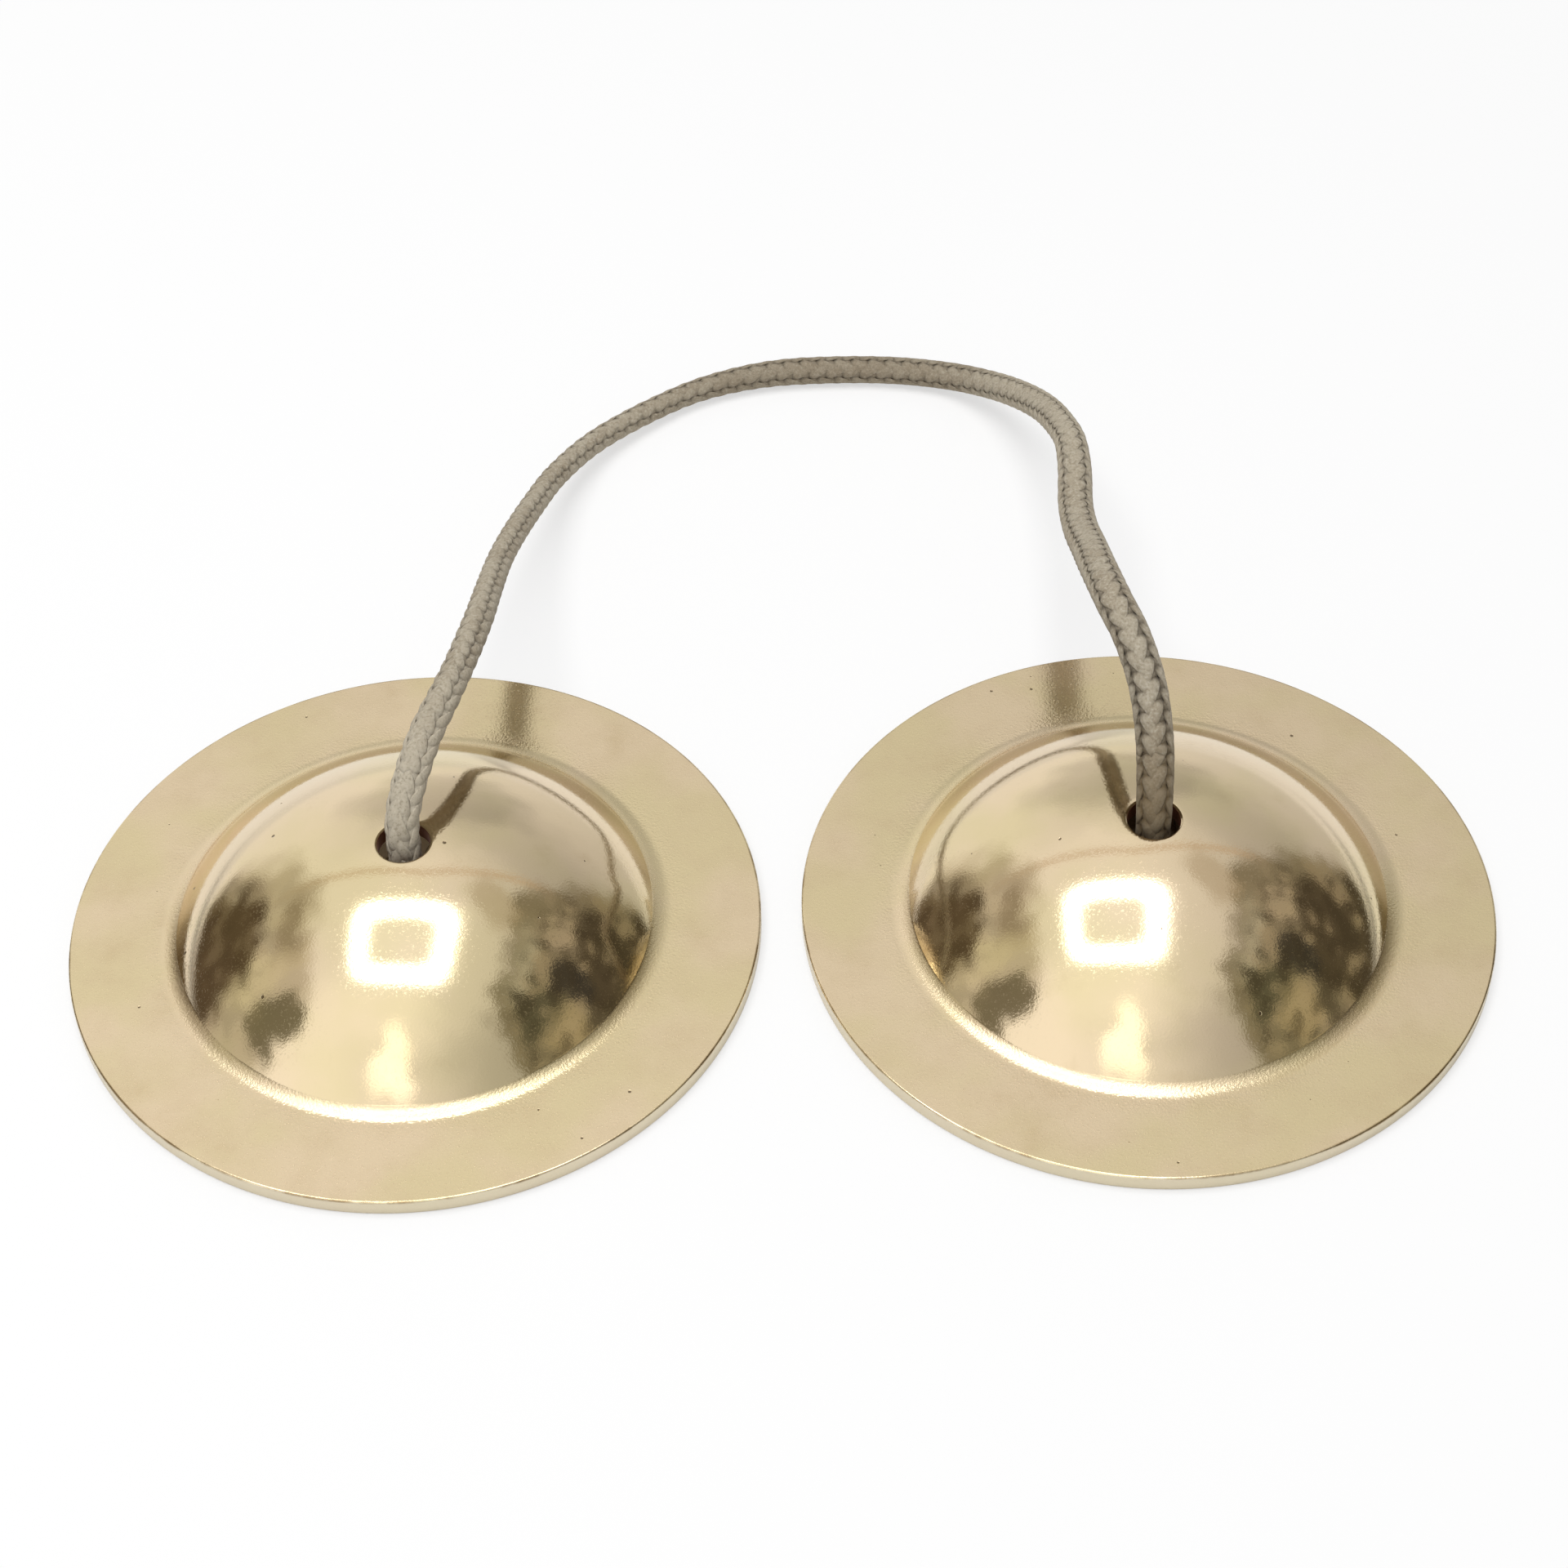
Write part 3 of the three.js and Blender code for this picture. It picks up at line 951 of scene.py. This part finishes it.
# Table and light: a white table, a nearly square ring lamp with a diffuser overhead, pale
# walls and darker sides, which the polished metal shows. None of it belongs to the part.
table_size = 3.0
table_white = (0.96, 0.96, 0.96, 1)
near_share = 0.6
plain_from, plain_to = 160 * mm, 400 * mm
mirrored_from, mirrored_to = 80 * mm, 200 * mm
hidden_radius = 30 * mm
under_light = 0.3
under_edge = disc_radius - 1 * mm
bpy.ops.mesh.primitive_plane_add(size=table_size)
table = bpy.context.object
table.name = "table"


def shader_mix(tree, share, first, second):
    return node(tree, "ShaderNodeMixShader", {0: share, 1: first, 2: second}).outputs[0]


def table_surface():
    """Matt white, with soft shadows near the object and under it, and plain white further out.

    Polished metal mirrors that white a little dimmer, and much dimmer at the sides of the
    pair. What lies right over the table, under a disc, gets a weak light. From below the
    table is clear.
    """
    material, tree, shader = plain_material("white_table")
    shader.inputs["Base Color"].default_value = table_white
    shader.inputs["Roughness"].default_value = 0.9
    shader.inputs["Specular IOR Level"].default_value = 0
    place = node(tree, "ShaderNodeTexCoord").outputs["Object"]
    out = Field(
        tree, node(tree, "ShaderNodeVectorMath", {0: place}, operation="LENGTH").outputs["Value"]
    )
    parts = node(tree, "ShaderNodeSeparateXYZ", {0: place})
    aside = Field(tree, parts.outputs["X"]).math("ABSOLUTE") - disc_spacing / 2
    back = Field(tree, parts.outputs["Y"])
    from_disc = (aside * aside + back * back).math("SQRT")
    open_table = eased(from_disc, hidden_radius, disc_radius)
    path = node(tree, "ShaderNodeLightPath")
    camera_ray, glossy_ray = (
        Field(tree, path.outputs[key]) for key in ("Is Camera Ray", "Is Glossy Ray")
    )
    beside = eased(aside, 50 * mm, 100 * mm) * (1 - eased(back, 60 * mm, 120 * mm))
    strength = 1 - glossy_ray * (beside * 0.7 + 0.12)
    white = node(tree, "ShaderNodeEmission", {"Strength": strength}).outputs[0]
    far = eased(out, plain_from, plain_to) * (1 - near_share) + near_share
    far = far * camera_ray * open_table
    under = (1 - camera_ray) * (1 - eased(from_disc, under_edge, disc_radius)) * under_light
    far = (far + eased(out, mirrored_from, mirrored_to) * glossy_ray).math("MAXIMUM", under)
    seen = shader_mix(tree, far, shader.outputs[0], white)
    below = node(tree, "ShaderNodeNewGeometry").outputs["Backfacing"]
    clear = node(tree, "ShaderNodeBsdfTransparent").outputs[0]
    seen = shader_mix(tree, below, seen, clear)
    tree.links.new(seen, tree.nodes["Material Output"].inputs["Surface"])
    return material


table.data.materials.append(table_surface())

# Lamp: a ring of light with a diffuser in it, a little to the left, with a glow round it.
lamp_centre = Vector((-0.135, -0.033, 0.85))
lamp_size = (0.57, 0.49)
lamp_opening = (0.38, 0.3)
lamp_halo = 1.5
lamp_turn = math.radians(-6)
corner_power = 5
ring_light = 15
diffuser_light = 1.15
bpy.ops.mesh.primitive_plane_add(size=1)
lamp = bpy.context.object
lamp.name = "ring_lamp"
lamp.data.transform(Matrix.Diagonal((*lamp_size, 1, 1)) * lamp_halo)
lamp.rotation_euler = (0, 0, lamp_turn)
lamp.location = lamp_centre
lamp.visible_camera = lamp.visible_diffuse = lamp.visible_shadow = False


def first_bounce(tree):
    """1 until light has met a matt surface, so that metal throws no hot spots on the cord."""
    depth = node(tree, "ShaderNodeLightPath").outputs["Diffuse Depth"]
    return 1 - Field(tree, depth).math("MINIMUM", 1)


def lamp_surface():
    """A bright ring with a dimmer middle and soft edges, seen where metal mirrors it."""
    material, tree, shader = plain_material("ring_lamp")
    place = node(tree, "ShaderNodeTexCoord").outputs["Object"]
    parts = node(tree, "ShaderNodeSeparateXYZ", {0: place})

    def spread(size):
        """1 on the edge of a rectangle with round corners, less inside, more outside."""
        shares = [
            (Field(tree, parts.outputs[key]).math("ABSOLUTE") * 2 / width).math("POWER", corner_power)
            for key, width in zip("XY", size)
        ]
        return (shares[0] + shares[1]).math("POWER", 1 / corner_power)

    ring = eased(spread(lamp_opening), 0.5, 1.5).math("POWER", 3)
    inside = (1 - eased(spread(lamp_size), 0.62, 1.35)).math("POWER", 3)
    glow = 1 - eased(spread(lamp_size), 0.9, lamp_halo * 0.95)
    strength = (inside * ring * ring_light + diffuser_light) * first_bounce(tree)
    light = node(tree, "ShaderNodeEmission", {"Strength": strength})
    clear = node(tree, "ShaderNodeBsdfTransparent").outputs[0]
    solid = 1 - eased(spread(lamp_size), 1, 1.35)
    seen = shader_mix(tree, (glow * 0.4).math("MAXIMUM", solid), clear, light.outputs[0])
    tree.links.new(seen, tree.nodes["Material Output"].inputs["Surface"])
    return material


lamp.data.materials.append(lamp_surface())

# The ring lamp shows only in what mirrors it. Matt surfaces get their light from a soft
# square light in the same place.
key_data = bpy.data.lights.new("key_light", "AREA")
key_data.shape = "SQUARE"
key_data.size = 0.6
key_data.energy = 5.4
key = bpy.data.objects.new("key_light", key_data)
key.location = lamp_centre
key.visible_glossy = False
bpy.context.scene.collection.objects.link(key)

world = bpy.data.worlds.new("studio")
world.use_nodes = True
bpy.context.scene.world = world
fill_light = 0.4
line_brown = (0.58, 0.42, 0.26, 1)
mottle_pale = (0.5, 0.44, 0.33, 1)
mottle_dark = (0.06, 0.05, 0.035, 1)

# Soft ovals that the domes mirror. Each has its azimuth (0 is towards the camera, and
# it grows to the right) and half its width, its height over the horizon and half its own
# height, all in degrees, then how soft and how strong it is, and its colour.
mirrored_ovals = (
    (-100, 34, 24, 27, 0.16, 0.65, (0.42, 0.37, 0.26, 1)),
    (-111, 17, 12, 18, 0.2, 0.95, (0.09, 0.063, 0.035, 1)),
    (-73, 9, 30, 13, 0.2, 0.92, (0.18, 0.165, 0.115, 1)),
    (-92, 5, 34, 15, 0.35, 0.6, (0.8, 0.76, 0.6, 1)),
    (-108, 15, 42, 4, 0.6, 0.6, (0.2, 0.15, 0.09, 1)),
    (86, 43, 27, 31, 0.09, 0.95, (0.25, 0.225, 0.165, 1)),
    (103, 19, 14, 19, 0.2, 0.9, (0.08, 0.066, 0.045, 1)),
    (68, 13, 40, 9, 0.25, 0.85, (0.11, 0.11, 0.08, 1)),
    (88, 8, 33, 8, 0.2, 0.9, (0.05, 0.048, 0.045, 1)),
    (84, 22, 52, 3.5, 0.6, 0.6, (0.62, 0.62, 0.53, 1)),
    (70, 10, 24, 9, 0.3, 0.6, (0.56, 0.48, 0.33, 1)),
    (108, 7, 40, 7, 0.25, 0.7, (0.5, 0.45, 0.36, 1)),
    (124, 22, 59, 6, 0.4, 0.5, (0.42, 0.35, 0.24, 1)),
    (-12, 8, 42, 13, 0.45, 1, (1.9, 1.85, 1.7, 1)),
)


def surroundings():
    """White for the camera, plain light on the piece, and soft walls for reflections."""
    tree = world.node_tree
    tree.nodes.clear()
    direction = node(tree, "ShaderNodeTexCoord").outputs["Generated"]
    parts = node(tree, "ShaderNodeSeparateXYZ", {0: direction})
    x, y, z = (Field(tree, parts.outputs[key]) for key in "XYZ")
    degree = 180 / math.pi
    drift, ripple = noise(tree, direction, 5.0), noise(tree, direction, 9.0, detail=3.0)
    # Azimuth and height drift a little, so that no outline is even.
    azimuth = x.math("ARCTAN2", y * -1) * degree + (drift - 0.5) * 22
    height = z.math("ARCSINE") * degree + (ripple - 0.5) * 14
    from_back = 180 - azimuth.math("ABSOLUTE")

    def patch(at, wide, high_at, high, soft=0.2):
        """1 in the middle of a soft oval, by its azimuth and height in degrees."""
        aside, above = (azimuth - at) / wide, (height - high_at) / high
        away = (aside * aside * aside * aside + above * above * above * above).math("POWER", 0.25)
        return 1 - eased(away, 1 - soft, 1 + soft)

    to_back, to_middle = from_back / 26, (height - 23) / 17
    behind = 1 - eased((to_back * to_back + to_middle * to_middle).math("SQRT"), 0.6, 1.2)
    low = 1 - eased(height, 5, 30)
    wall = eased(height, 40, 60) * 0.2 + 0.78 - behind * 0.2 + low * 0.15
    pale = (wall - x * 0.4).math("MINIMUM", 1) + patch(-30, 42, 30, 60, 0.5) * 0.2
    colour = node(
        tree, "ShaderNodeCombineColor", {0: pale, 1: pale * 0.99, 2: pale * 0.96}
    ).outputs[0]
    # A soft brown line runs high across the back and slopes down to both sides.
    ahead = y.math("MAXIMUM", 0.05)
    off_line = (z / ahead - 2 + x.math("ABSOLUTE") / ahead * 0.45).math("ABSOLUTE")
    line = (1 - eased(off_line, 0.03, 0.17)) * (1 - eased(from_back, 48, 64))
    colour = mixed(tree, line * 0.55, colour, line_brown)
    for at, wide, high_at, high, soft, share, tint in mirrored_ovals:
        colour = mixed(tree, patch(at, wide, high_at, high, soft) * share, colour, tint)
    mottled = patch(88, 38, 25, 28) + patch(-104, 26, 18, 20) * 0.35
    mottle = noise(tree, direction, 8.0, detail=1.5)
    colour = mixed(tree, mottled * eased(mottle, 0.53, 0.6) * 0.5, colour, mottle_pale)
    colour = mixed(tree, mottled * eased(1 - mottle, 0.53, 0.6) * 0.6, colour, mottle_dark)
    path = node(tree, "ShaderNodeLightPath")
    white = (1, 1, 1, 1)
    plain = node(tree, "ShaderNodeBackground", {"Color": white, "Strength": fill_light})
    room = node(tree, "ShaderNodeBackground", {"Color": colour})
    backdrop = node(tree, "ShaderNodeBackground", {"Color": white})
    mirrored = Field(tree, path.outputs["Is Glossy Ray"]) * first_bounce(tree)
    seen = shader_mix(tree, mirrored, plain.outputs[0], room.outputs[0])
    seen = shader_mix(tree, path.outputs["Is Camera Ray"], seen, backdrop.outputs[0])
    out = node(tree, "ShaderNodeOutputWorld")
    tree.links.new(seen, out.inputs["Surface"])


surroundings()
bpy.context.scene.view_settings.view_transform = "Standard"
